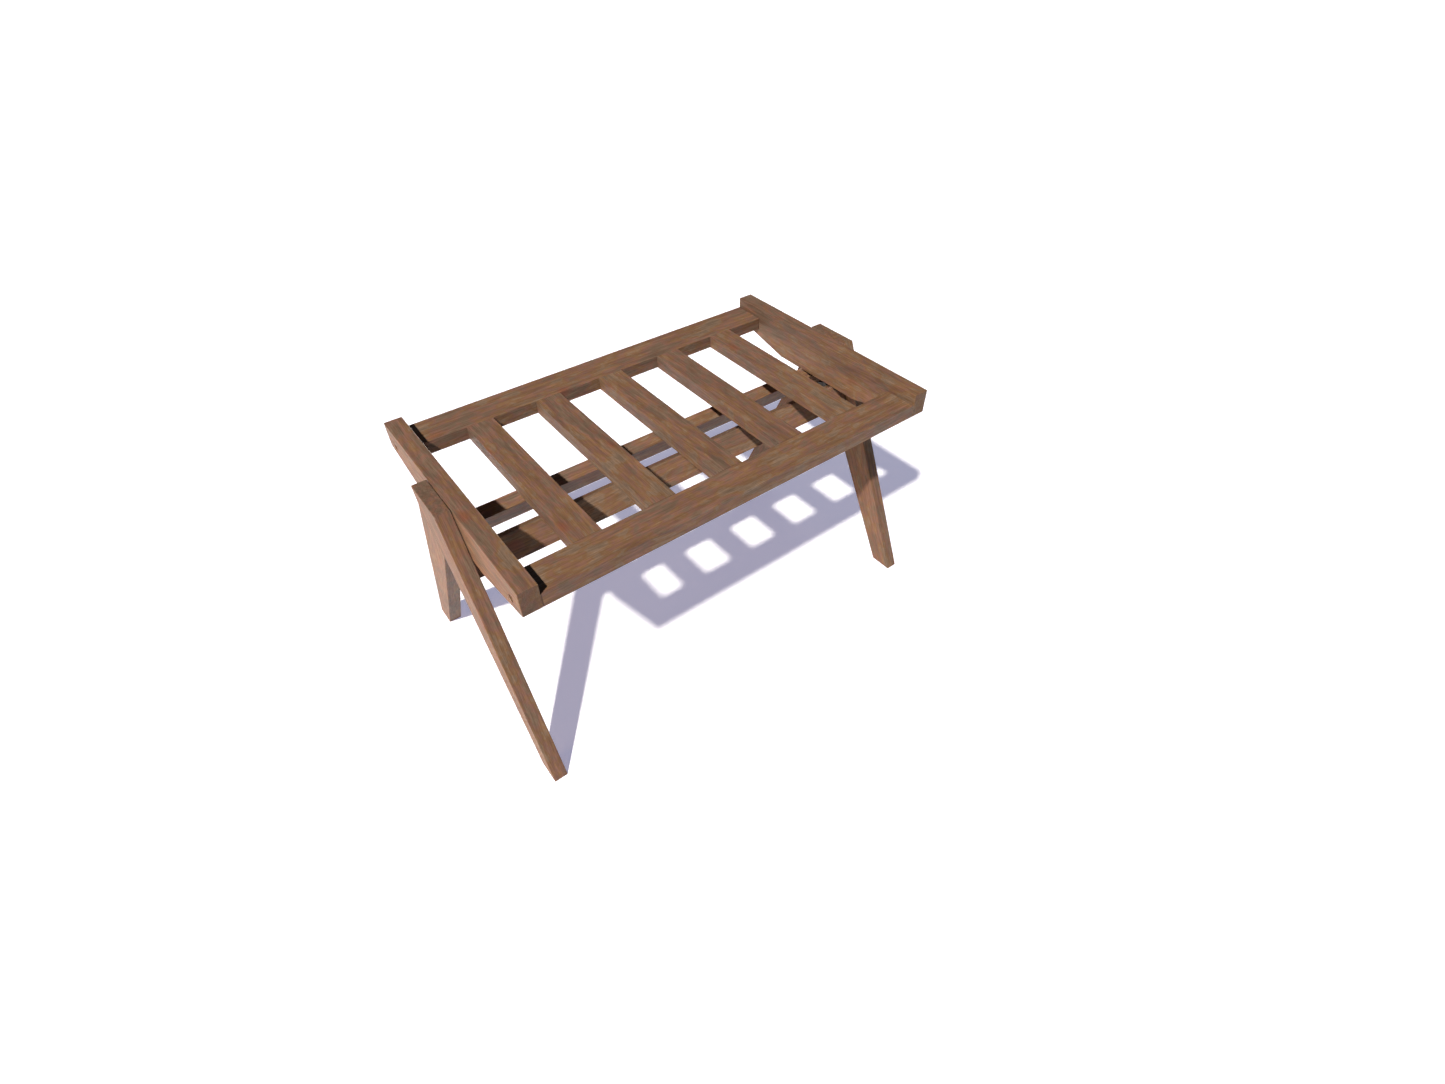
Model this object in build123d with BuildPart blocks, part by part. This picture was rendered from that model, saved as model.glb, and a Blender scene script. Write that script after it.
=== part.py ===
from build123d import *
from math import atan2, cos, radians, sin
import os

# Folding luggage rack in wood: a slatted tray carried on two leg frames.
# Frame: +X along the tray, -Y towards the front, +Z up.
# Origin: centre of the footprint, on the floor.  Millimetres.

# tray
TRAY_LENGTH = 790.0
TRAY_DEPTH = 488.0
HEIGHT = 450.0
BOARD = 24.5
END_RAIL_THICKNESS = 30.5
END_RAIL_PROUD = 20.0
BELLY_DEPTH = 77.2
BELLY_HALF_WIDTH = 104.5
FRONT_RAIL_WIDTH = 60.5
BACK_RAIL_WIDTH = 66.0
SLAT_WIDTH = 48.5
SLAT_COUNT = 5

# leg frames
LEG_THICKNESS = 24.0
SIDE_GAP = 1.0
FOOT_WIDTH = 43.5
APEX_FRONT_Y = -35.5
APEX_BACK_Y = 54.5
CROTCH_Y = -3.5
CROTCH_Z = 347.0
KINK_Y = 47.9
KINK_Z = 420.4
BUTT_GAP = 0.5
CROTCH_ROUNDING = 4.0
STRETCHER_WIDTH = 46.0
STRETCHER_LEAN = 27.3
STRETCHER_TOP_Y = 44.0
STRETCHER_CLEARANCE = 0.5

# fittings
PIVOT_Y = 9.5
PIVOT_Z = 400.0
PIN_RADIUS = 5.0
PIN_IN_RAIL = 22.0
PIN_IN_LEG = 16.0
RUNNING_CLEARANCE = 0.05
WASHER_RADIUS = 10.0
WASHER_THICKNESS = 0.6
PLATE_THICKNESS = 2.0
PLATE_WIDTH = 14.0
PLATE_LENGTH = 58.0
PLATE_INSET = 10.0
STRIP_START = 12.0
NECK_OVERLAP = 0.5
NECK_HEAD = 6.0
SCREW_SPOTS = (26.0, 48.0)
BOLT_HEAD_RADIUS = 6.3
BOLT_HEAD_HEIGHT = 5.0
BOLT_RADIUS = 3.0
BOLT_LENGTH = 60.0
BOLT_SOCKET_WIDTH = 5.0
BOLT_SOCKET_DEPTH = 3.0
COUNTERBORE_RADIUS = 6.5
COUNTERBORE_DEPTH = 7.0
EYE_RADIUS = 7.0
EYE_GAP = 0.3
RIVET_RADIUS = 3.0
RIVET_HEAD_RADIUS = 5.5
RIVET_HEAD_HEIGHT = 1.4
RIVET_HEAD_ROUNDING = 1.0
SCREW_RADIUS = 2.0
SCREW_HEAD_RADIUS = 3.6
SCREW_HEAD_HEIGHT = 0.8
SCREW_LENGTH = 14.0
DOWEL_RADIUS = 4.0
DOWEL_LENGTH = 32.0
DOWEL_CLEARANCE = 0.05
DOWEL_END_ROOM = 1.0
EDGE = 0.6

# derived
half_length = TRAY_LENGTH / 2
half_depth = TRAY_DEPTH / 2
board_top = HEIGHT - END_RAIL_PROUD
board_bottom = board_top - BOARD
belly_bottom = HEIGHT - BELLY_DEPTH
rail_inner_x = half_length - END_RAIL_THICKNESS
leg_inner_x = half_length + SIDE_GAP
front_rail_back = -half_depth + FRONT_RAIL_WIDTH
back_rail_front = half_depth - BACK_RAIL_WIDTH
slat_gap = (2 * rail_inner_x - SLAT_COUNT * SLAT_WIDTH) / (SLAT_COUNT + 1)
slat_pitch = SLAT_WIDTH + slat_gap
stretcher_top_z = belly_bottom - STRETCHER_CLEARANCE
stretcher_half_length = leg_inner_x
board_mid_z = board_top - BOARD / 2

os.makedirs("parts", exist_ok=True)


def save(part, name):
    """Label a finished piece and write it under its own name."""
    part.label = name
    export_step(part, "parts/" + name + ".step")


def side_name(side):
    return "left" if side < 0 else "right"


def profile_plane(x):
    """A plane across the rack at x, with its own x along +Y, its own y up and its normal along +X."""
    return Plane(origin=(x, 0, 0), x_dir=(0, 1, 0), z_dir=(1, 0, 0))


def drill_plane(x, y, z, direction):
    """A plane at a point, facing the way a bore, pin or screw runs."""
    return Plane(origin=(x, y, z), z_dir=direction)


def leaning_point(side, across, down):
    """A point on a stretcher's section: side -1 is the front board, +1 the rear one.

    across runs through the board from its outer face, down runs along it from its top edge."""
    lean = radians(STRETCHER_LEAN)
    y = STRETCHER_TOP_Y - across * cos(lean) + down * sin(lean)
    z = stretcher_top_z - across * sin(lean) - down * cos(lean)
    return side * y, z


# ---------------------------------------------------------------- dowel places
# Each place is a point on the joint face and the way the dowel runs through it.

def rail_dowel_places():
    places = []
    for side in (-1, 1):
        for rail_y, width in (
            (-half_depth + FRONT_RAIL_WIDTH / 2, FRONT_RAIL_WIDTH),
            (half_depth - BACK_RAIL_WIDTH / 2, BACK_RAIL_WIDTH),
        ):
            for shift in (-width / 4, width / 4):
                places.append((side * rail_inner_x, rail_y + shift, board_mid_z))
    return places


def rail_bolt_places(side):
    """Centres of the counterbores on an end rail's outer face, in line with the two long rails."""
    front_y = -half_depth + FRONT_RAIL_WIDTH / 2
    back_y = half_depth - BACK_RAIL_WIDTH / 2
    return [(side * half_length, y, board_mid_z) for y in (front_y, back_y)]


def cut_bolt_bores(side):
    """Bores for the two rail bolts at one end, through the end rail and on into the long rails."""
    for x, y, z in rail_bolt_places(side):
        with BuildSketch(drill_plane(x, y, z, (-side, 0, 0))) as hole:
            Circle(BOLT_RADIUS + DOWEL_CLEARANCE)
        extrude(hole.sketch, amount=COUNTERBORE_DEPTH + BOLT_LENGTH + DOWEL_END_ROOM, mode=Mode.SUBTRACT)


def slat_centres():
    first = -slat_pitch * (SLAT_COUNT - 1) / 2
    return [first + slat_pitch * index for index in range(SLAT_COUNT)]


def slat_dowel_places(centre):
    return [
        (centre + shift, y, board_mid_z)
        for y in (front_rail_back, back_rail_front)
        for shift in (-SLAT_WIDTH / 4, SLAT_WIDTH / 4)
    ]


def stretcher_dowel_places(frame_side):
    places = []
    for side in (-1, 1):
        for down in (STRETCHER_WIDTH / 4, 3 * STRETCHER_WIDTH / 4):
            y, z = leaning_point(frame_side, BOARD / 2, down)
            places.append((side * stretcher_half_length, y, z))
    return places


def cut_dowel_holes(places, direction):
    """Bore for dowels that sit half in this piece, a little deeper than the dowel."""
    depth = DOWEL_LENGTH / 2 + DOWEL_END_ROOM
    for place in places:
        with BuildSketch(drill_plane(*place, direction)) as hole:
            Circle(DOWEL_RADIUS + DOWEL_CLEARANCE)
        extrude(hole.sketch, amount=depth, both=True, mode=Mode.SUBTRACT)


def save_dowels(places, direction, name):
    with BuildPart() as dowels:
        for place in places:
            with BuildSketch(drill_plane(*place, direction)):
                Circle(DOWEL_RADIUS)
            extrude(amount=DOWEL_LENGTH / 2, both=True)
    save(dowels.part, name)


# ---------------------------------------------------------------- tray
for side in (-1, 1):
    with BuildPart() as end_rail:
        outer_x = side * half_length
        with BuildSketch(profile_plane(outer_x)):
            with BuildLine():
                Polyline(
                    (-half_depth, HEIGHT),
                    (half_depth, HEIGHT),
                    (half_depth, board_bottom),
                    (BELLY_HALF_WIDTH, belly_bottom),
                    (-BELLY_HALF_WIDTH, belly_bottom),
                    (-half_depth, board_bottom),
                    close=True,
                )
            make_face()
        extrude(amount=-side * END_RAIL_THICKNESS)
        chamfer(end_rail.edges(), EDGE)
        cut_dowel_holes([p for p in rail_dowel_places() if p[0] * side > 0], (1, 0, 0))
        with BuildSketch(drill_plane(outer_x, PIVOT_Y, PIVOT_Z, (-side, 0, 0))):
            Circle(PIN_RADIUS)
        extrude(amount=PIN_IN_RAIL, mode=Mode.SUBTRACT)
        cut_bolt_bores(side)
        for place in rail_bolt_places(side):
            with BuildSketch(drill_plane(*place, (-side, 0, 0))):
                Circle(COUNTERBORE_RADIUS)
            extrude(amount=COUNTERBORE_DEPTH, mode=Mode.SUBTRACT)
    save(end_rail.part, "end_rail_" + side_name(side))

long_rails = (
    ("front_rail", -half_depth, front_rail_back),
    ("back_rail", back_rail_front, half_depth),
)
for rail_name, low_y, high_y in long_rails:
    with BuildPart() as long_rail:
        with BuildSketch(Plane.XY.offset(board_bottom)):
            with Locations((0, (low_y + high_y) / 2)):
                Rectangle(2 * rail_inner_x, high_y - low_y)
        extrude(amount=BOARD)
        chamfer(long_rail.edges(), EDGE)
        cut_dowel_holes([p for p in rail_dowel_places() if low_y < p[1] < high_y], (1, 0, 0))
        for side in (-1, 1):
            cut_bolt_bores(side)
        joint_y = high_y if rail_name == "front_rail" else low_y
        for centre in slat_centres():
            cut_dowel_holes([p for p in slat_dowel_places(centre) if p[1] == joint_y], (0, 1, 0))
    save(long_rail.part, rail_name)

for index, centre in enumerate(slat_centres()):
    with BuildPart() as slat:
        with BuildSketch(Plane.XY.offset(board_bottom)):
            with Locations((centre, (front_rail_back + back_rail_front) / 2)):
                Rectangle(SLAT_WIDTH, back_rail_front - front_rail_back)
        extrude(amount=BOARD)
        chamfer(slat.edges(), EDGE)
        cut_dowel_holes(slat_dowel_places(centre), (0, 1, 0))
    save(slat.part, "slat_" + str(index + 1))

with BuildPart() as rail_bolts:
    for side in (-1, 1):
        for x, y, z in rail_bolt_places(side):
            seat_x = x - side * COUNTERBORE_DEPTH
            with BuildSketch(drill_plane(seat_x, y, z, (-side, 0, 0))):
                Circle(BOLT_RADIUS)
            extrude(amount=BOLT_LENGTH)
            with BuildSketch(drill_plane(seat_x, y, z, (side, 0, 0))):
                Circle(BOLT_HEAD_RADIUS)
            extrude(amount=BOLT_HEAD_HEIGHT)
            with BuildSketch(drill_plane(seat_x + side * BOLT_HEAD_HEIGHT, y, z, (-side, 0, 0))):
                RegularPolygon(BOLT_SOCKET_WIDTH / 2, 6, major_radius=False)
            extrude(amount=BOLT_SOCKET_DEPTH, mode=Mode.SUBTRACT)
save(rail_bolts.part, "rail_bolts")

all_slat_places = [place for centre in slat_centres() for place in slat_dowel_places(centre)]
save_dowels(rail_dowel_places(), (1, 0, 0), "rail_dowels")
save_dowels(all_slat_places, (0, 1, 0), "slat_dowels")


# ---------------------------------------------------------------- hinge plates
# A plate runs from the eye at the crotch down the inner face of its leg.  Both eyes turn on
# one rivet, the rear eye lying inboard of the front one.
leg_edge_angle = atan2(CROTCH_Y + half_depth - FOOT_WIDTH, CROTCH_Z)


def plate_point(frame_side, along, inset):
    """A point on the leg: along runs down its crotch edge, inset runs in from that edge."""
    y = CROTCH_Y + frame_side * (along * sin(leg_edge_angle) + inset * cos(leg_edge_angle))
    z = CROTCH_Z - along * cos(leg_edge_angle) + inset * sin(leg_edge_angle)
    return y, z


screw_places = {
    frame_side: [plate_point(frame_side, along, PLATE_INSET) for along in SCREW_SPOTS]
    for frame_side in (-1, 1)
}


def cut_screw_holes(side, frame_side):
    for y, z in screw_places[frame_side]:
        with BuildSketch(drill_plane(side * leg_inner_x, y, z, (side, 0, 0))) as hole:
            Circle(SCREW_RADIUS)
        extrude(hole.sketch, amount=SCREW_LENGTH, both=True, mode=Mode.SUBTRACT)


def strip_corners(frame_side):
    """The strip's outline, clear of the round eye at its upper end."""
    low_inset = PLATE_INSET - PLATE_WIDTH / 2
    high_inset = PLATE_INSET + PLATE_WIDTH / 2
    return [
        plate_point(frame_side, STRIP_START, low_inset),
        plate_point(frame_side, PLATE_LENGTH, low_inset),
        plate_point(frame_side, PLATE_LENGTH, high_inset),
        plate_point(frame_side, STRIP_START, high_inset),
    ]


def neck_corners(frame_side):
    """The bridge from the strip to the eye, a little narrower than the strip where they meet."""
    foot = STRIP_START + NECK_OVERLAP
    half_width = PLATE_WIDTH / 2 - NECK_OVERLAP
    return [
        plate_point(frame_side, 0.0, NECK_HEAD),
        plate_point(frame_side, 0.0, 0.0),
        plate_point(frame_side, foot, PLATE_INSET - half_width),
        plate_point(frame_side, foot, PLATE_INSET + half_width),
    ]


for side in (-1, 1):
    leg_face = side * leg_inner_x
    front_eye_face = leg_face - side * PLATE_THICKNESS
    rear_eye_outer = front_eye_face - side * EYE_GAP
    rear_eye_inner = rear_eye_outer - side * PLATE_THICKNESS

    with BuildPart() as front_plate:
        with BuildSketch(profile_plane(leg_face)):
            with BuildLine():
                Polyline(*strip_corners(-1), close=True)
            make_face()
            with BuildLine():
                Polyline(*neck_corners(-1), close=True)
            make_face()
            with Locations((CROTCH_Y, CROTCH_Z)):
                Circle(EYE_RADIUS)
                Circle(RIVET_RADIUS, mode=Mode.SUBTRACT)
        extrude(amount=-side * PLATE_THICKNESS)
        cut_screw_holes(side, -1)
    save(front_plate.part, "front_hinge_plate_" + side_name(side))

    with BuildPart() as rear_plate:
        with BuildSketch(profile_plane(leg_face)):
            with BuildLine():
                Polyline(*strip_corners(1), close=True)
            make_face()
        extrude(amount=rear_eye_inner - leg_face)
        with BuildSketch(profile_plane(rear_eye_outer)):
            with BuildLine():
                Polyline(*neck_corners(1), close=True)
            make_face()
            with Locations((CROTCH_Y, CROTCH_Z)):
                Circle(EYE_RADIUS)
                Circle(RIVET_RADIUS + RUNNING_CLEARANCE, mode=Mode.SUBTRACT)
        extrude(amount=-side * PLATE_THICKNESS)
        cut_screw_holes(side, 1)
    save(rear_plate.part, "rear_hinge_plate_" + side_name(side))

    with BuildPart() as rivet:
        with BuildSketch(drill_plane(leg_face, CROTCH_Y, CROTCH_Z, (-side, 0, 0))):
            Circle(RIVET_RADIUS)
        extrude(amount=abs(leg_face - rear_eye_inner) + EYE_GAP)
        head_x = rear_eye_inner - side * EYE_GAP
        with BuildSketch(drill_plane(head_x, CROTCH_Y, CROTCH_Z, (-side, 0, 0))):
            Circle(RIVET_HEAD_RADIUS)
        extrude(amount=RIVET_HEAD_HEIGHT)
        head_edge = rivet.edges().filter_by(GeomType.CIRCLE).sort_by(Axis.X)[0 if side > 0 else -1]
        fillet(head_edge, RIVET_HEAD_ROUNDING)
    save(rivet.part, "hinge_rivet_" + side_name(side))

for frame_side, screws_name, head_offset in (
    (-1, "front_plate_screws", PLATE_THICKNESS),
    (1, "rear_plate_screws", 2 * PLATE_THICKNESS + EYE_GAP),
):
    with BuildPart() as screws:
        for side in (-1, 1):
            head_x = side * (leg_inner_x - head_offset)
            for y, z in screw_places[frame_side]:
                with BuildSketch(drill_plane(head_x, y, z, (side, 0, 0))):
                    Circle(SCREW_RADIUS)
                extrude(amount=SCREW_LENGTH)
                with BuildSketch(drill_plane(head_x, y, z, (-side, 0, 0))):
                    Circle(SCREW_HEAD_RADIUS)
                extrude(amount=SCREW_HEAD_HEIGHT)
    save(screws.part, screws_name)


# ---------------------------------------------------------------- legs
# Seen from the side each leg is a board that widens upwards.  The front leg runs up to the
# tray's top; the rear leg ends on the front leg's back edge, between crotch and kink.
butt_angle = atan2(KINK_Z - CROTCH_Z, KINK_Y - CROTCH_Y)
butt_shift_y = BUTT_GAP * sin(butt_angle)
butt_shift_z = -BUTT_GAP * cos(butt_angle)

front_leg_outline = [
    (-half_depth, 0),
    (-half_depth + FOOT_WIDTH, 0),
    (CROTCH_Y, CROTCH_Z),
    (KINK_Y, KINK_Z),
    (APEX_BACK_Y, HEIGHT),
    (APEX_FRONT_Y, HEIGHT),
]
rear_leg_outline = [
    (half_depth, 0),
    (half_depth - FOOT_WIDTH, 0),
    (CROTCH_Y + butt_shift_y, CROTCH_Z + butt_shift_z),
    (KINK_Y + butt_shift_y, KINK_Z + butt_shift_z),
]

for side in (-1, 1):
    with BuildPart() as front_leg:
        with BuildSketch(profile_plane(side * leg_inner_x)):
            with BuildLine():
                Polyline(*front_leg_outline, close=True)
            make_face()
        extrude(amount=side * LEG_THICKNESS)
        chamfer(front_leg.edges().filter_by(Axis.X, reverse=True), EDGE)
        cut_dowel_holes([p for p in stretcher_dowel_places(-1) if p[0] * side > 0], (1, 0, 0))
        cut_screw_holes(side, -1)
        with BuildSketch(drill_plane(side * leg_inner_x, PIVOT_Y, PIVOT_Z, (side, 0, 0))):
            Circle(PIN_RADIUS + RUNNING_CLEARANCE)
        extrude(amount=PIN_IN_LEG + DOWEL_END_ROOM, mode=Mode.SUBTRACT)
    save(front_leg.part, "front_leg_" + side_name(side))

    with BuildPart() as rear_leg:
        with BuildSketch(profile_plane(side * leg_inner_x)):
            with BuildLine():
                Polyline(*rear_leg_outline, close=True)
            make_face()
            crotch_corner = Vector(side * leg_inner_x, rear_leg_outline[2][0], rear_leg_outline[2][1])
        extrude(amount=side * LEG_THICKNESS)
        crotch_edge = rear_leg.edges().filter_by(Axis.X).sort_by_distance(crotch_corner)[0]
        fillet(crotch_edge, CROTCH_ROUNDING)
        chamfer(rear_leg.edges().filter_by(GeomType.LINE).filter_by(Axis.X, reverse=True), EDGE)
        cut_dowel_holes([p for p in stretcher_dowel_places(1) if p[0] * side > 0], (1, 0, 0))
        cut_screw_holes(side, 1)
    save(rear_leg.part, "rear_leg_" + side_name(side))


# ---------------------------------------------------------------- stretchers
for frame_side, stretcher_name in ((-1, "front_stretcher"), (1, "rear_stretcher")):
    corners = [
        leaning_point(frame_side, 0, 0),
        leaning_point(frame_side, BOARD, 0),
        leaning_point(frame_side, BOARD, STRETCHER_WIDTH),
        leaning_point(frame_side, 0, STRETCHER_WIDTH),
    ]
    with BuildPart() as stretcher:
        with BuildSketch(profile_plane(-stretcher_half_length)):
            with BuildLine():
                Polyline(*corners, close=True)
            make_face()
        extrude(amount=2 * stretcher_half_length)
        chamfer(stretcher.edges(), EDGE)
        cut_dowel_holes(stretcher_dowel_places(frame_side), (1, 0, 0))
    save(stretcher.part, stretcher_name)
    save_dowels(stretcher_dowel_places(frame_side), (1, 0, 0), stretcher_name + "_dowels")


# ---------------------------------------------------------------- tray pivots
for side in (-1, 1):
    pin_start = half_length - PIN_IN_RAIL
    with BuildPart() as pin:
        with BuildSketch(drill_plane(side * pin_start, PIVOT_Y, PIVOT_Z, (side, 0, 0))):
            Circle(PIN_RADIUS)
        extrude(amount=PIN_IN_RAIL + SIDE_GAP + PIN_IN_LEG)
        chamfer(pin.edges().filter_by(GeomType.CIRCLE), EDGE)
    save(pin.part, "pivot_pin_" + side_name(side))

    washer_start = half_length + (SIDE_GAP - WASHER_THICKNESS) / 2
    with BuildPart() as washer:
        with BuildSketch(drill_plane(side * washer_start, PIVOT_Y, PIVOT_Z, (side, 0, 0))):
            Circle(WASHER_RADIUS)
            Circle(PIN_RADIUS + RUNNING_CLEARANCE, mode=Mode.SUBTRACT)
        extrude(amount=WASHER_THICKNESS)
    save(washer.part, "pivot_washer_" + side_name(side))
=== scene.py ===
from math import cos, pi, radians, sin

import bmesh
import bpy
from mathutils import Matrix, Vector
from mathutils.geometry import tessellate_polygon


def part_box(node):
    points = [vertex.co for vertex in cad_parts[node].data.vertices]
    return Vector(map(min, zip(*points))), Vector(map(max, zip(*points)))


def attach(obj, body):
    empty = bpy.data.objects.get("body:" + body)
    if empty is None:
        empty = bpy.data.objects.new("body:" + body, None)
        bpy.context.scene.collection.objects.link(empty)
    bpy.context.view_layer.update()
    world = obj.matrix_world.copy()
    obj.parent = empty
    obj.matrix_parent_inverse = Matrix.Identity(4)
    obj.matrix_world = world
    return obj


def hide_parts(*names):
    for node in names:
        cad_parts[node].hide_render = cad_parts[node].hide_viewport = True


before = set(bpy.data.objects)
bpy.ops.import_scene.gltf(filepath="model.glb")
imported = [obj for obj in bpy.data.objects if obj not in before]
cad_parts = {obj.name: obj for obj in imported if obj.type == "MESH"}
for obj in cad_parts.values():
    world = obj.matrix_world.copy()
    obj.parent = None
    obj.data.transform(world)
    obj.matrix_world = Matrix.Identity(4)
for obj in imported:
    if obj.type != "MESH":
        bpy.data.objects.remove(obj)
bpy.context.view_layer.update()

# Folding luggage rack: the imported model's own parts, finished as oiled wood, blackened steel and nylon.
# Metres.  +X along the tray, -Y towards the front, +Z up, origin on the floor under the centre.

# ---------------------------------------------------------------- viewpoint
CAMERA_PLACE = (-0.5681, -0.8913, 1.1289)
CAMERA_DOWN = 43.53
CAMERA_TURN = 37.98
SENSOR_WIDTH = 36.0
LENS = 17.94

# ---------------------------------------------------------------- light
SUN_TRAVEL = (0.73, 0.41, -1.0)
SUN_STRENGTH = 5.4
SUN_COLOUR = (1.0, 0.94, 0.86)
SUN_ANGLE = 2.2
SIDE_LIGHT_PLACE = (-3.2, 0.0, 0.21)
SIDE_LIGHT_SIZE = (1.6, 0.38)
SIDE_LIGHT_POWER = 62.0
SIDE_LIGHT_COLOUR = (1.0, 0.68, 0.34)
BACK_LIGHT_PLACE = (2.4, 2.6, 0.21)
BACK_LIGHT_SIZE = (2.4, 0.38)
BACK_LIGHT_POWER = 110.0
BACK_LIGHT_COLOUR = (1.0, 0.95, 0.90)
SKY_COLOUR = (0.050, 0.054, 0.064)
FILL_COLOUR = (0.62, 0.60, 0.58)
FLOOR_HALF = 30.0
FLOOR_COLOUR = (0.90, 0.90, 0.91)
FLOOR_GLOW = (0.225, 0.235, 0.365)
FLOOR_MOTTLE = 0.985
FLOOR_MOTTLE_SCALE = 3.0
BACKDROP_COLOUR = (1.0, 1.0, 1.0)
BACKDROP_RADIUS = 26.0
BACKDROP_HEIGHT = 30.0
BACKDROP_SIDES = 72
HORIZON_LOW = -0.12
HORIZON_HIGH = 0.06

# ---------------------------------------------------------------- wood
LEG_LEAN = 27.3
GREY_BROWN = (0.138, 0.094, 0.063, 1.0)
PINK_BROWN = (0.176, 0.088, 0.064, 1.0)
OCHRE_BROWN = (0.172, 0.092, 0.043, 1.0)
MID_BROWN = (0.142, 0.078, 0.050, 1.0)
PALE_BROWN = (0.180, 0.117, 0.078, 1.0)
KNOT_RED = (0.190, 0.055, 0.030, 1.0)
# dark of the grain figure, pores and end grain, and also the colour of the painted shade in the seams
DARK_FIGURE_AND_SEAM_SHADE = (0.040, 0.021, 0.013, 1.0)
WORN_EDGE = (0.210, 0.130, 0.088, 1.0)
HEARTWOOD = (
    (0.36, MID_BROWN), (0.43, GREY_BROWN), (0.48, PINK_BROWN),
    (0.53, OCHRE_BROWN), (0.58, PALE_BROWN), (0.65, GREY_BROWN),
)
LOG_STEP = 0.37
WANDER_SCALE = 9.0
WANDER_REACH = 0.030
BAND_SCALE = 16.0
COARSE_FIBRE_SCALE = 170.0
FINE_FIBRE_SCALE = 640.0
PORE_SCALE = 1100.0
PATCH_SCALE = 58.0
PATCH_SHARE = 0.6
DRIFT_SCALE = 11.0
KNOT_SCALE = 15.0
KNOT_STRENGTH = 0.60
BAND_DARKNESS = 0.17
PORE_DARKNESS = 0.30
END_GRAIN_DARKNESS = 0.22
EDGE_WEAR = 0.15
EDGE_WEAR_WIDTH = 0.0010
# painted shade: how dark and how wide the painted line of shade in the seams at the rails' and slats' ends
# is
RAIL_SEAM_SHADE = 0.75
SLAT_SEAM_SHADE = 0.35
SEAM_SHADE_WIDTH = 0.0018
SEAM_SHADE_CORE = 0.0006
WOOD_RELIEF = (0.32, 0.0004)
SLAT_PITH_STEP = 0.03

# ---------------------------------------------------------------- steel and nylon
STEEL_DARK = (0.045, 0.040, 0.036, 1.0)
STEEL_PALE = (0.105, 0.095, 0.085, 1.0)
STEEL_STROKE = (0.030, 0.027, 0.025, 1.0)
STEEL_RUBBED = (0.30, 0.28, 0.25, 1.0)
STROKE_SCALE = 900.0
SMUDGE_SCALE = 60.0
STEEL_WEAR = 0.5
STEEL_WEAR_WIDTH = 0.0005
STEEL_RELIEF = (0.15, 0.00008)
NYLON_DARK = (0.66, 0.63, 0.57, 1.0)
NYLON_PALE = (0.80, 0.78, 0.73, 1.0)
NYLON_SCALE = 240.0
NYLON_RELIEF = (0.1, 0.0001)

# ---------------------------------------------------------------- plate screws
PLATE_PIVOT = (-0.0035, 0.3470)
PLATE_EDGE_LEAN = 29.584
SCREW_SPOTS = (0.026, 0.048)
SCREW_INSET = 0.010
SCREW_SEAT = {"front": 0.3940, "rear": 0.3917}
SCREW_SIDES = 32
SCREW_SMOOTH_ANGLE = 32.0
SCREW_TURN = 0.5
SCREW_PROFILE = (
    (0.00260, 0.00080), (0.00310, 0.00073), (0.00345, 0.00052), (0.00360, 0.00020), (0.00360, 0.0),
    (0.00195, 0.0), (0.00195, -0.0100), (0.00120, -0.0125), (0.00020, -0.0139),
)
RECESS_MOUTH = (0.00195, 0.00045, 0.00080)
RECESS_FLOOR = (0.00150, 0.00033, 0.00025)


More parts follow.
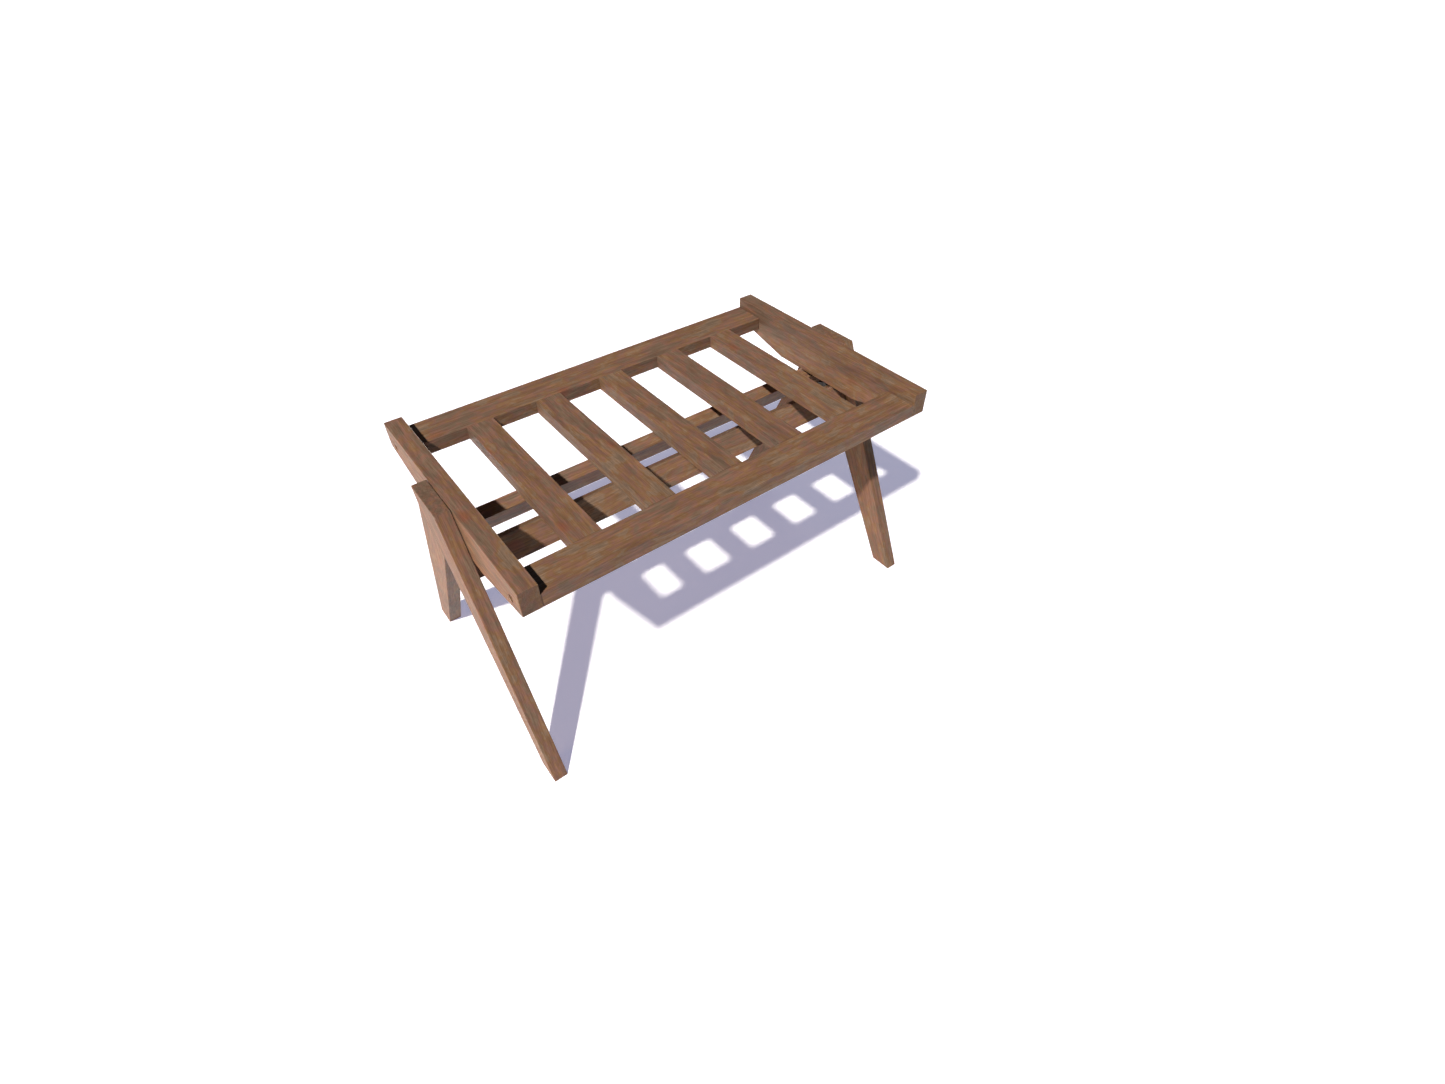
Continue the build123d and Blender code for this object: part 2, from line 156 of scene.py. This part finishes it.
# ================================================================ node helpers
class Graph:
    """A material's node tree, with short calls for the nodes used here."""

    def __init__(self, name):
        self.material = bpy.data.materials.new(name)
        self.material.use_nodes = True
        self.tree = self.material.node_tree
        self.tree.nodes.clear()

    def node(self, kind, **settings):
        made = self.tree.nodes.new(kind)
        for key, value in settings.items():
            setattr(made, key, value)
        return made

    def link(self, source, target):
        self.tree.links.new(source, target)

    def put(self, value, socket):
        """Feed a socket from another node, or set its own value."""
        if isinstance(value, bpy.types.NodeSocket):
            self.link(value, socket)
        else:
            socket.default_value = value

    def math(self, operation, first, second=None, clamp=False):
        made = self.node("ShaderNodeMath", operation=operation, use_clamp=clamp)
        self.put(first, made.inputs[0])
        if second is not None:
            self.put(second, made.inputs[1])
        return made.outputs[0]

    def vector_math(self, operation, first, second):
        made = self.node("ShaderNodeVectorMath", operation=operation)
        self.put(first, made.inputs[0])
        self.put(second, made.inputs[1])
        return made.outputs["Value" if operation == "DOT_PRODUCT" else "Vector"]

    def dot(self, vector, direction):
        return self.vector_math("DOT_PRODUCT", vector, direction)

    def scaled(self, vector, scale):
        return self.vector_math("MULTIPLY", vector, scale)

    def shifted(self, vector, offset):
        return self.vector_math("ADD", vector, offset)

    def drawn_out(self, vector, squeeze):
        """A pattern read at this place is stretched along the grain, which is the place's x."""
        return self.scaled(vector, (squeeze, 1.0, 1.0))

    def combine(self, x, y, z):
        made = self.node("ShaderNodeCombineXYZ")
        for socket, value in zip(made.inputs, (x, y, z)):
            self.link(value, socket)
        return made.outputs[0]

    def noise(self, vector, scale, detail=3.0, roughness=0.55, distortion=0.0):
        made = self.node("ShaderNodeTexNoise")
        self.link(vector, made.inputs["Vector"])
        made.inputs["Scale"].default_value = scale
        made.inputs["Detail"].default_value = detail
        made.inputs["Roughness"].default_value = roughness
        made.inputs["Distortion"].default_value = distortion
        return made

    def span(self, value, low, high, to_low=0.0, to_high=1.0):
        made = self.node("ShaderNodeMapRange", interpolation_type="SMOOTHSTEP")
        self.link(value, made.inputs["Value"])
        made.inputs["From Min"].default_value = low
        made.inputs["From Max"].default_value = high
        made.inputs["To Min"].default_value = to_low
        made.inputs["To Max"].default_value = to_high
        return made.outputs["Result"]

    def ramp(self, value, stops):
        made = self.node("ShaderNodeValToRGB")
        elements = made.color_ramp.elements
        while len(elements) < len(stops):
            elements.new(0.5)
        for element, (position, colour) in zip(elements, stops):
            element.position = position
            element.color = colour
        self.link(value, made.inputs["Fac"])
        return made.outputs["Color"]

    def mix(self, factor, first, second, blend="MIX"):
        made = self.node("ShaderNodeMix", data_type="RGBA", blend_type=blend)
        for name, value in (("Factor_Float", factor), ("A_Color", first), ("B_Color", second)):
            self.put(value, next(s for s in made.inputs if s.identifier == name))
        return next(s for s in made.outputs if s.identifier == "Result_Color")

    def relief(self, height, strength, distance):
        bump = self.node("ShaderNodeBump")
        bump.inputs["Strength"].default_value = strength
        bump.inputs["Distance"].default_value = distance
        self.link(height, bump.inputs["Height"])
        return bump.outputs[0]

    def finish(self, shader):
        output = self.node("ShaderNodeOutputMaterial")
        self.link(shader.outputs[0], output.inputs["Surface"])
        return self.material

    def surface(self, settings):
        """Finish the material as one Principled surface, from values or outputs by socket name."""
        shader = self.node("ShaderNodeBsdfPrincipled")
        for name, value in settings.items():
            self.put(value, shader.inputs[name])
        return self.finish(shader)


def edge_mask(graph, radius):
    """Near 1 on a sharp edge, 0 on a flat: how far a rounded normal leaves the true one."""
    bevel = graph.node("ShaderNodeBevel", samples=6)
    bevel.inputs["Radius"].default_value = radius
    geometry = graph.node("ShaderNodeNewGeometry")
    return graph.span(graph.dot(bevel.outputs[0], geometry.outputs["Normal"]), 0.985, 0.82)


# ================================================================ materials
def wandering_fibres(graph, board):
    """The board's own space, bent by the slow wander of its fibres."""
    wander = graph.noise(graph.drawn_out(board, 0.22), WANDER_SCALE, detail=2.0)
    centred = graph.shifted(wander.outputs["Color"], (-0.5, -0.5, -0.5))
    return graph.shifted(board, graph.scaled(centred, (0.0, WANDER_REACH, WANDER_REACH)))


def growth_bands(graph, fibres, pith):
    """The dark line of each growth band about the pith."""
    bands = graph.node("ShaderNodeTexWave", wave_type="RINGS", rings_direction="X", wave_profile="SAW")
    off_pith = graph.shifted(fibres, (0.0, -pith[0], -pith[1]))
    graph.link(graph.drawn_out(off_pith, 0.12), bands.inputs["Vector"])
    bands.inputs["Scale"].default_value = BAND_SCALE
    bands.inputs["Distortion"].default_value = 5.0
    bands.inputs["Detail"].default_value = 4.0
    bands.inputs["Detail Scale"].default_value = 2.2
    return graph.span(bands.outputs["Fac"], 0.70, 0.99)


def heartwood(graph, board, fibres, seed):
    """Patches of grey, pink and ochre over slower drifts of the same, with small soft knots wide apart."""
    patch_place = graph.shifted(graph.drawn_out(fibres, 0.46), (3.1 * seed, 1.7, 0.6 * seed))
    patch = graph.noise(patch_place, PATCH_SCALE, detail=4.0, roughness=0.6, distortion=0.25)
    drift_place = graph.shifted(graph.drawn_out(board, 0.45), (0.7 * seed, 5.2, 1.3))
    drift = graph.noise(drift_place, DRIFT_SCALE, detail=2.0)
    patches = graph.math("MULTIPLY", patch.outputs["Fac"], PATCH_SHARE)
    drifts = graph.math("MULTIPLY", drift.outputs["Fac"], 1.0 - PATCH_SHARE)
    ground = graph.ramp(graph.math("ADD", patches, drifts), HEARTWOOD)

    knots = graph.node("ShaderNodeTexVoronoi", feature="F1")
    knot_place = graph.shifted(graph.drawn_out(fibres, 0.62), (0.9, 2.3 * seed, 0.2))
    graph.link(knot_place, knots.inputs["Vector"])
    knots.inputs["Scale"].default_value = KNOT_SCALE
    knot_mask = graph.span(knots.outputs["Distance"], 0.20, 0.03, 0.0, KNOT_STRENGTH)
    return graph.mix(knot_mask, ground, KNOT_RED)


def wood(name, grain, across, pith, seed, ends=None, seam_shade=0.0):
    """Sawn and oiled hardwood as a solid texture, cut from a log whose pith lies off the board.

    grain and across are directions; pith is the log's centre, (across, through) from the origin.
    ends are the board's two ends along the grain, and the last argument is how dark the painted seam shade
    there is."""
    graph = Graph(name)
    grain = Vector(grain).normalized()
    across = Vector(across).normalized()
    through = grain.cross(across)
    coordinates = graph.node("ShaderNodeTexCoord")
    place = coordinates.outputs["Object"]
    along = graph.dot(place, grain)
    board = graph.combine(along, graph.dot(place, across), graph.dot(place, through))
    board = graph.shifted(board, (LOG_STEP * seed, 0.0, 0.0))
    fibres = wandering_fibres(graph, board)
    bands = growth_bands(graph, fibres, pith)
    colour = heartwood(graph, board, fibres, seed)

    # coarse and fine fibres, and open pores
    coarse = graph.noise(graph.drawn_out(fibres, 0.06), COARSE_FIBRE_SCALE, detail=4.0, roughness=0.6)
    fine = graph.noise(graph.drawn_out(fibres, 0.045), FINE_FIBRE_SCALE, detail=3.0, roughness=0.65)
    pores = graph.noise(graph.drawn_out(fibres, 0.07), PORE_SCALE, detail=1.0)
    pore_mask = graph.span(pores.outputs["Fac"], 0.62, 0.74)
    coarse_tone = graph.span(coarse.outputs["Fac"], 0.30, 0.70, 1.16, 0.82)
    fine_tone = graph.span(fine.outputs["Fac"], 0.30, 0.70, 1.20, 0.78)
    toned = graph.node("ShaderNodeVectorMath", operation="SCALE")
    graph.link(colour, toned.inputs[0])
    graph.link(graph.math("MULTIPLY", coarse_tone, fine_tone), toned.inputs["Scale"])
    colour = graph.mix(graph.math("MULTIPLY", bands, BAND_DARKNESS), toned.outputs[0], DARK_FIGURE_AND_SEAM_SHADE)
    colour = graph.mix(graph.math("MULTIPLY", pore_mask, PORE_DARKNESS), colour, DARK_FIGURE_AND_SEAM_SHADE)

    # end grain drinks more oil, and edges wear pale
    facing = graph.math("ABSOLUTE", graph.dot(coordinates.outputs["Normal"], grain))
    end_grain = graph.span(facing, 0.80, 0.95)
    colour = graph.mix(graph.math("MULTIPLY", end_grain, END_GRAIN_DARKNESS), colour, DARK_FIGURE_AND_SEAM_SHADE)
    wear = graph.math("MULTIPLY", edge_mask(graph, EDGE_WEAR_WIDTH), EDGE_WEAR)
    colour = graph.mix(wear, colour, WORN_EDGE)

    # painted shade: a dark line at the board's ends, standing in for shade in the seams where it butts its
    # neighbours
    if ends:
        middle, half = (ends[0] + ends[1]) / 2, (ends[1] - ends[0]) / 2
        off_middle = graph.math("ABSOLUTE", graph.math("SUBTRACT", along, middle))
        painted_seam_line = graph.span(off_middle, half - SEAM_SHADE_WIDTH, half - SEAM_SHADE_CORE, 0.0, seam_shade)
        colour = graph.mix(painted_seam_line, colour, DARK_FIGURE_AND_SEAM_SHADE)

    # sheen and relief
    roughness = graph.math("ADD", graph.math("MULTIPLY", fine.outputs["Fac"], 0.24), 0.46)
    roughness = graph.math("ADD", roughness, graph.math("MULTIPLY", end_grain, 0.10), clamp=True)
    height = graph.math(
        "SUBTRACT",
        graph.math("ADD", fine.outputs["Fac"], graph.math("MULTIPLY", coarse.outputs["Fac"], 0.7)),
        graph.math("ADD", pore_mask, graph.math("MULTIPLY", bands, 0.3)),
    )
    return graph.surface({
        "Base Color": colour,
        "Roughness": roughness,
        "Normal": graph.relief(height, *WOOD_RELIEF),
        "Specular IOR Level": 0.32,
    })


def blackened_steel(name, stroke):
    """Blackened steel with fine strokes along one way and paler rubbed places."""
    graph = Graph(name)
    place = graph.node("ShaderNodeTexCoord").outputs["Object"]
    strokes = graph.noise(graph.scaled(place, stroke), STROKE_SCALE, detail=4.0, roughness=0.7)
    smudge = graph.noise(place, SMUDGE_SCALE, detail=4.0)
    colour = graph.ramp(smudge.outputs["Fac"], ((0.30, STEEL_DARK), (0.70, STEEL_PALE)))
    line = graph.span(strokes.outputs["Fac"], 0.30, 0.70, 0.0, 0.45)
    colour = graph.mix(line, colour, STEEL_STROKE)
    wear = graph.math("MULTIPLY", edge_mask(graph, STEEL_WEAR_WIDTH), STEEL_WEAR)
    return graph.surface({
        "Base Color": graph.mix(wear, colour, STEEL_RUBBED),
        "Roughness": graph.span(strokes.outputs["Fac"], 0.2, 0.8, 0.26, 0.48),
        "Normal": graph.relief(strokes.outputs["Fac"], *STEEL_RELIEF),
        "Metallic": 1.0,
    })


def nylon(name):
    """Turned nylon: faint mottle and a waxy surface."""
    graph = Graph(name)
    place = graph.node("ShaderNodeTexCoord").outputs["Object"]
    mottle = graph.noise(place, NYLON_SCALE, detail=4.0)
    return graph.surface({
        "Base Color": graph.ramp(mottle.outputs["Fac"], ((0.3, NYLON_DARK), (0.7, NYLON_PALE))),
        "Roughness": graph.span(mottle.outputs["Fac"], 0.2, 0.8, 0.38, 0.55),
        "Normal": graph.relief(mottle.outputs["Fac"], *NYLON_RELIEF),
    })


def matt_floor(name):
    """White studio floor with a barely visible mottle and a dim glow."""
    graph = Graph(name)
    place = graph.node("ShaderNodeTexCoord").outputs["Object"]
    mottle = graph.noise(place, FLOOR_MOTTLE_SCALE, detail=5.0)
    dull = tuple(channel * FLOOR_MOTTLE for channel in FLOOR_COLOUR) + (1.0,)
    return graph.surface({
        "Base Color": graph.ramp(mottle.outputs["Fac"], ((0.3, dull), (0.7, FLOOR_COLOUR + (1.0,)))),
        "Roughness": 0.9,
        "Specular IOR Level": 0.1,
        "Emission Color": FLOOR_GLOW + (1.0,),
        "Emission Strength": 1.0,
    })


# ================================================================ the rack's parts
def leg_grain(frame_side):
    """The way up a leg, which leans in towards the middle of the rack."""
    return (0.0, -frame_side * sin(radians(LEG_LEAN)), cos(radians(LEG_LEAN)))


def board_finishes():
    """Each wooden node's grain direction, the way across its face, and its log's pith."""
    along_x, along_y = (1.0, 0.0, 0.0), (0.0, 1.0, 0.0)
    finishes = {
        "front_rail": (along_x, along_y, (-0.20, 0.36)),
        "back_rail": (along_x, along_y, (0.29, 0.37)),
        "end_rail_left": (along_y, along_x, (0.46, 0.35)),
        "end_rail_right": (along_y, along_x, (-0.37, 0.33)),
    }
    slats = sorted(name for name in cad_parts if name.startswith("slat_") and name[5:].isdigit())
    for index, slat in enumerate(slats):
        low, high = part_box(slat)
        middle = (low[0] + high[0]) / 2
        finishes[slat] = (along_y, along_x, (middle + SLAT_PITH_STEP * (index % 3 - 1), -0.34))
    for frame_side, frame_name in ((-1, "front"), (1, "rear")):
        grain = leg_grain(frame_side)
        for side_name, shift in (("left", 0.05), ("right", -0.04)):
            finishes[frame_name + "_leg_" + side_name] = (grain, along_x, (shift, 0.10 * frame_side))
        finishes[frame_name + "_stretcher"] = (along_x, grain, (0.40, 0.12 * frame_side))
    return finishes


def give(node, material):
    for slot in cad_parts[node].material_slots:
        slot.material = material


def board_ends(node, grain):
    """The two ends along X or Y of a board that butts its neighbours, and how dark the painted seam shade
    at them is.
    """
    if node.endswith("_rail"):
        seam_shade = RAIL_SEAM_SHADE
    elif node.startswith("slat_"):
        seam_shade = SLAT_SEAM_SHADE
    else:
        return None, 0.0
    low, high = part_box(node)
    axis = 0 if grain[0] == 1.0 else 1
    return (low[axis], high[axis]), seam_shade


for seed, (node, (grain, across, pith)) in enumerate(sorted(board_finishes().items())):
    ends, seam_shade = board_ends(node, grain)
    finish = wood("wood_" + node, grain, across, pith, seed + 1, ends, seam_shade)
    give(node, finish)

for node in ("rail_dowels", "slat_dowels", "front_stretcher_dowels", "rear_stretcher_dowels"):
    grain = (0.0, 1.0, 0.0) if node == "slat_dowels" else (1.0, 0.0, 0.0)
    give(node, wood("wood_" + node, grain, (0.0, 0.0, 1.0), (0.02, 0.03), 2))

plate_steel = blackened_steel("steel_plate", (1.0, 0.06, 1.0))
turned_steel = blackened_steel("steel_turned", (0.08, 1.0, 1.0))
nylon_white = nylon("nylon_washer")
turned_pieces = ("rivet", "screws", "pivot_pin", "bolts")
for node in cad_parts:
    if "hinge_plate" in node:
        give(node, plate_steel)
    elif any(piece in node for piece in turned_pieces):
        give(node, turned_steel)
    elif "washer" in node:
        give(node, nylon_white)


# ================================================================ plate screws
def recess_outline(reach, half_width, height):
    """The twelve corners of a cross, as (across, up, height) from the screw's axis."""
    corners = [(reach, -half_width), (reach, half_width), (half_width, half_width)]
    outline = []
    for turn in range(4):
        for across, up in corners:
            for _ in range(turn):
                across, up = -up, across
            outline.append((across, up, height))
    return outline


def screw_shape():
    """One cross-headed screw about its own axis: points as (across, up, out of the head), and faces."""
    points, faces = [], []
    for radius, height in SCREW_PROFILE:
        for step in range(SCREW_SIDES):
            angle = 2 * pi * step / SCREW_SIDES
            points.append((radius * cos(angle), radius * sin(angle), height))
    for ring in range(len(SCREW_PROFILE) - 1):
        for step in range(SCREW_SIDES):
            following = (step + 1) % SCREW_SIDES
            first, second = ring * SCREW_SIDES, (ring + 1) * SCREW_SIDES
            faces.append((first + step, first + following, second + following, second + step))
    faces.append(tuple(range(len(points) - SCREW_SIDES, len(points))))

    mouth_start = len(points)
    mouth = recess_outline(*RECESS_MOUTH)
    floor = recess_outline(*RECESS_FLOOR)
    points += mouth + floor
    rim_and_mouth = list(range(SCREW_SIDES)) + list(range(mouth_start, mouth_start + len(mouth)))
    rim = [Vector(points[index]) for index in range(SCREW_SIDES)]
    for corners in tessellate_polygon([rim, [Vector(corner) for corner in mouth]]):
        faces.append(tuple(rim_and_mouth[corner] for corner in corners))
    floor_start = mouth_start + len(mouth)
    for step in range(len(mouth)):
        following = (step + 1) % len(mouth)
        upper = (mouth_start + step, mouth_start + following)
        faces.append(upper + (floor_start + following, floor_start + step))
    for corners in tessellate_polygon([[Vector(corner) for corner in floor]]):
        faces.append(tuple(floor_start + corner for corner in corners))
    return points, faces


def make_screws(frame_side, frame_name):
    """The four plate screws of one leg frame, heads inwards, each turned by its own amount."""
    shape, shape_faces = screw_shape()
    lean = radians(PLATE_EDGE_LEAN)
    points, faces = [], []
    for side in (-1, 1):
        for index, spot in enumerate(SCREW_SPOTS):
            y = PLATE_PIVOT[0] + frame_side * (spot * sin(lean) + SCREW_INSET * cos(lean))
            z = PLATE_PIVOT[1] - spot * cos(lean) + SCREW_INSET * sin(lean)
            turn = SCREW_TURN + 1.3 * index + 0.7 * side + 0.4 * frame_side
            start = len(points)
            for across, up, out in shape:
                dy = across * cos(turn) - up * sin(turn)
                dz = across * sin(turn) + up * cos(turn)
                points.append((side * (SCREW_SEAT[frame_name] - out), y + dy, z + dz))
            faces += [tuple(start + corner for corner in face) for face in shape_faces]
    mesh = bpy.data.meshes.new(frame_name + "_screws")
    mesh.from_pydata(points, [], faces)
    solid = bmesh.new()
    solid.from_mesh(mesh)
    bmesh.ops.recalc_face_normals(solid, faces=solid.faces)
    solid.to_mesh(mesh)
    solid.free()
    mesh.shade_smooth()
    mesh.set_sharp_from_angle(angle=radians(SCREW_SMOOTH_ANGLE))
    mesh.materials.append(turned_steel)
    screws = bpy.data.objects.new(frame_name + "_screws", mesh)
    bpy.context.collection.objects.link(screws)
    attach(screws, frame_name + "_frame")
    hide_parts(frame_name + "_plate_screws")


make_screws(-1, "front")
make_screws(1, "rear")


# ================================================================ stage, light, camera
def only_seen(obj, glossy):
    """The camera sees obj, but it neither shades nor lights the rack."""
    obj.visible_diffuse = False
    obj.visible_shadow = False
    obj.visible_glossy = glossy


def make_floor():
    corners = [(x * FLOOR_HALF, y * FLOOR_HALF, 0.0) for x, y in ((-1, -1), (1, -1), (1, 1), (-1, 1))]
    mesh = bpy.data.meshes.new("floor")
    mesh.from_pydata(corners, [], [(0, 1, 2, 3)])
    floor = bpy.data.objects.new("floor", mesh)
    bpy.context.collection.objects.link(floor)
    floor.data.materials.append(matt_floor("floor"))
    only_seen(floor, True)


def make_backdrop():
    """A round pale wall far behind the rack, seen only from low viewpoints."""
    corners, faces = [], []
    for step in range(BACKDROP_SIDES):
        angle = 2 * pi * step / BACKDROP_SIDES
        x, y = BACKDROP_RADIUS * cos(angle), BACKDROP_RADIUS * sin(angle)
        corners += [(x, y, 0.0), (x, y, BACKDROP_HEIGHT)]
        low, following = 2 * step, 2 * ((step + 1) % BACKDROP_SIDES)
        faces.append((low, low + 1, following + 1, following))
    mesh = bpy.data.meshes.new("backdrop")
    mesh.from_pydata(corners, [], faces)
    backdrop = bpy.data.objects.new("backdrop", mesh)
    bpy.context.collection.objects.link(backdrop)
    graph = Graph("backdrop")
    glow = graph.node("ShaderNodeEmission")
    glow.inputs["Color"].default_value = BACKDROP_COLOUR + (1.0,)
    backdrop.data.materials.append(graph.finish(glow))
    only_seen(backdrop, False)


def make_sun():
    data = bpy.data.lights.new("sun", "SUN")
    data.energy = SUN_STRENGTH
    data.color = SUN_COLOUR
    data.angle = radians(SUN_ANGLE)
    sun = bpy.data.objects.new("sun", data)
    sun.rotation_euler = Vector(SUN_TRAVEL).to_track_quat("-Z", "Y").to_euler()
    bpy.context.collection.objects.link(sun)


def make_low_light(name, place, size, power, colour):
    """A wide soft light, lower than the tray's top, so that upward faces keep their shade."""
    data = bpy.data.lights.new(name, "AREA")
    data.energy = power
    data.color = colour
    data.shape = "RECTANGLE"
    data.size, data.size_y = size
    light = bpy.data.objects.new(name, data)
    light.location = place
    aim = Vector((-place[0], -place[1], 0.0))
    light.rotation_euler = aim.to_track_quat("-Z", "Y").to_euler()
    light.visible_camera = False
    bpy.context.collection.objects.link(light)


def make_sky():
    """Dim light from above, and the soft light that a pale floor throws back up."""
    world = bpy.data.worlds.new("sky")
    world.use_nodes = True
    tree = world.node_tree
    background = tree.nodes["Background"]
    direction = tree.nodes.new("ShaderNodeTexCoord")
    parts = tree.nodes.new("ShaderNodeSeparateXYZ")
    tree.links.new(direction.outputs["Generated"], parts.inputs[0])
    ramp = tree.nodes.new("ShaderNodeValToRGB")
    height = tree.nodes.new("ShaderNodeMapRange")
    height.inputs["From Min"].default_value = HORIZON_LOW
    height.inputs["From Max"].default_value = HORIZON_HIGH
    tree.links.new(parts.outputs["Z"], height.inputs["Value"])
    tree.links.new(height.outputs["Result"], ramp.inputs["Fac"])
    ramp.color_ramp.elements[0].color = FILL_COLOUR + (1.0,)
    ramp.color_ramp.elements[1].color = SKY_COLOUR + (1.0,)
    tree.links.new(ramp.outputs["Color"], background.inputs["Color"])
    bpy.context.scene.world = world


def make_camera():
    data = bpy.data.cameras.new("camera")
    data.sensor_width = SENSOR_WIDTH
    data.lens = LENS
    camera = bpy.data.objects.new("camera", data)
    camera.location = CAMERA_PLACE
    camera.rotation_euler = (radians(90.0 - CAMERA_DOWN), 0.0, radians(-CAMERA_TURN))
    bpy.context.collection.objects.link(camera)
    bpy.context.scene.camera = camera


make_floor()
make_backdrop()
make_sun()
make_low_light("side_light", SIDE_LIGHT_PLACE, SIDE_LIGHT_SIZE, SIDE_LIGHT_POWER, SIDE_LIGHT_COLOUR)
make_low_light("back_light", BACK_LIGHT_PLACE, BACK_LIGHT_SIZE, BACK_LIGHT_POWER, BACK_LIGHT_COLOUR)
make_sky()
make_camera()
bpy.context.scene.view_settings.view_transform = "Standard"
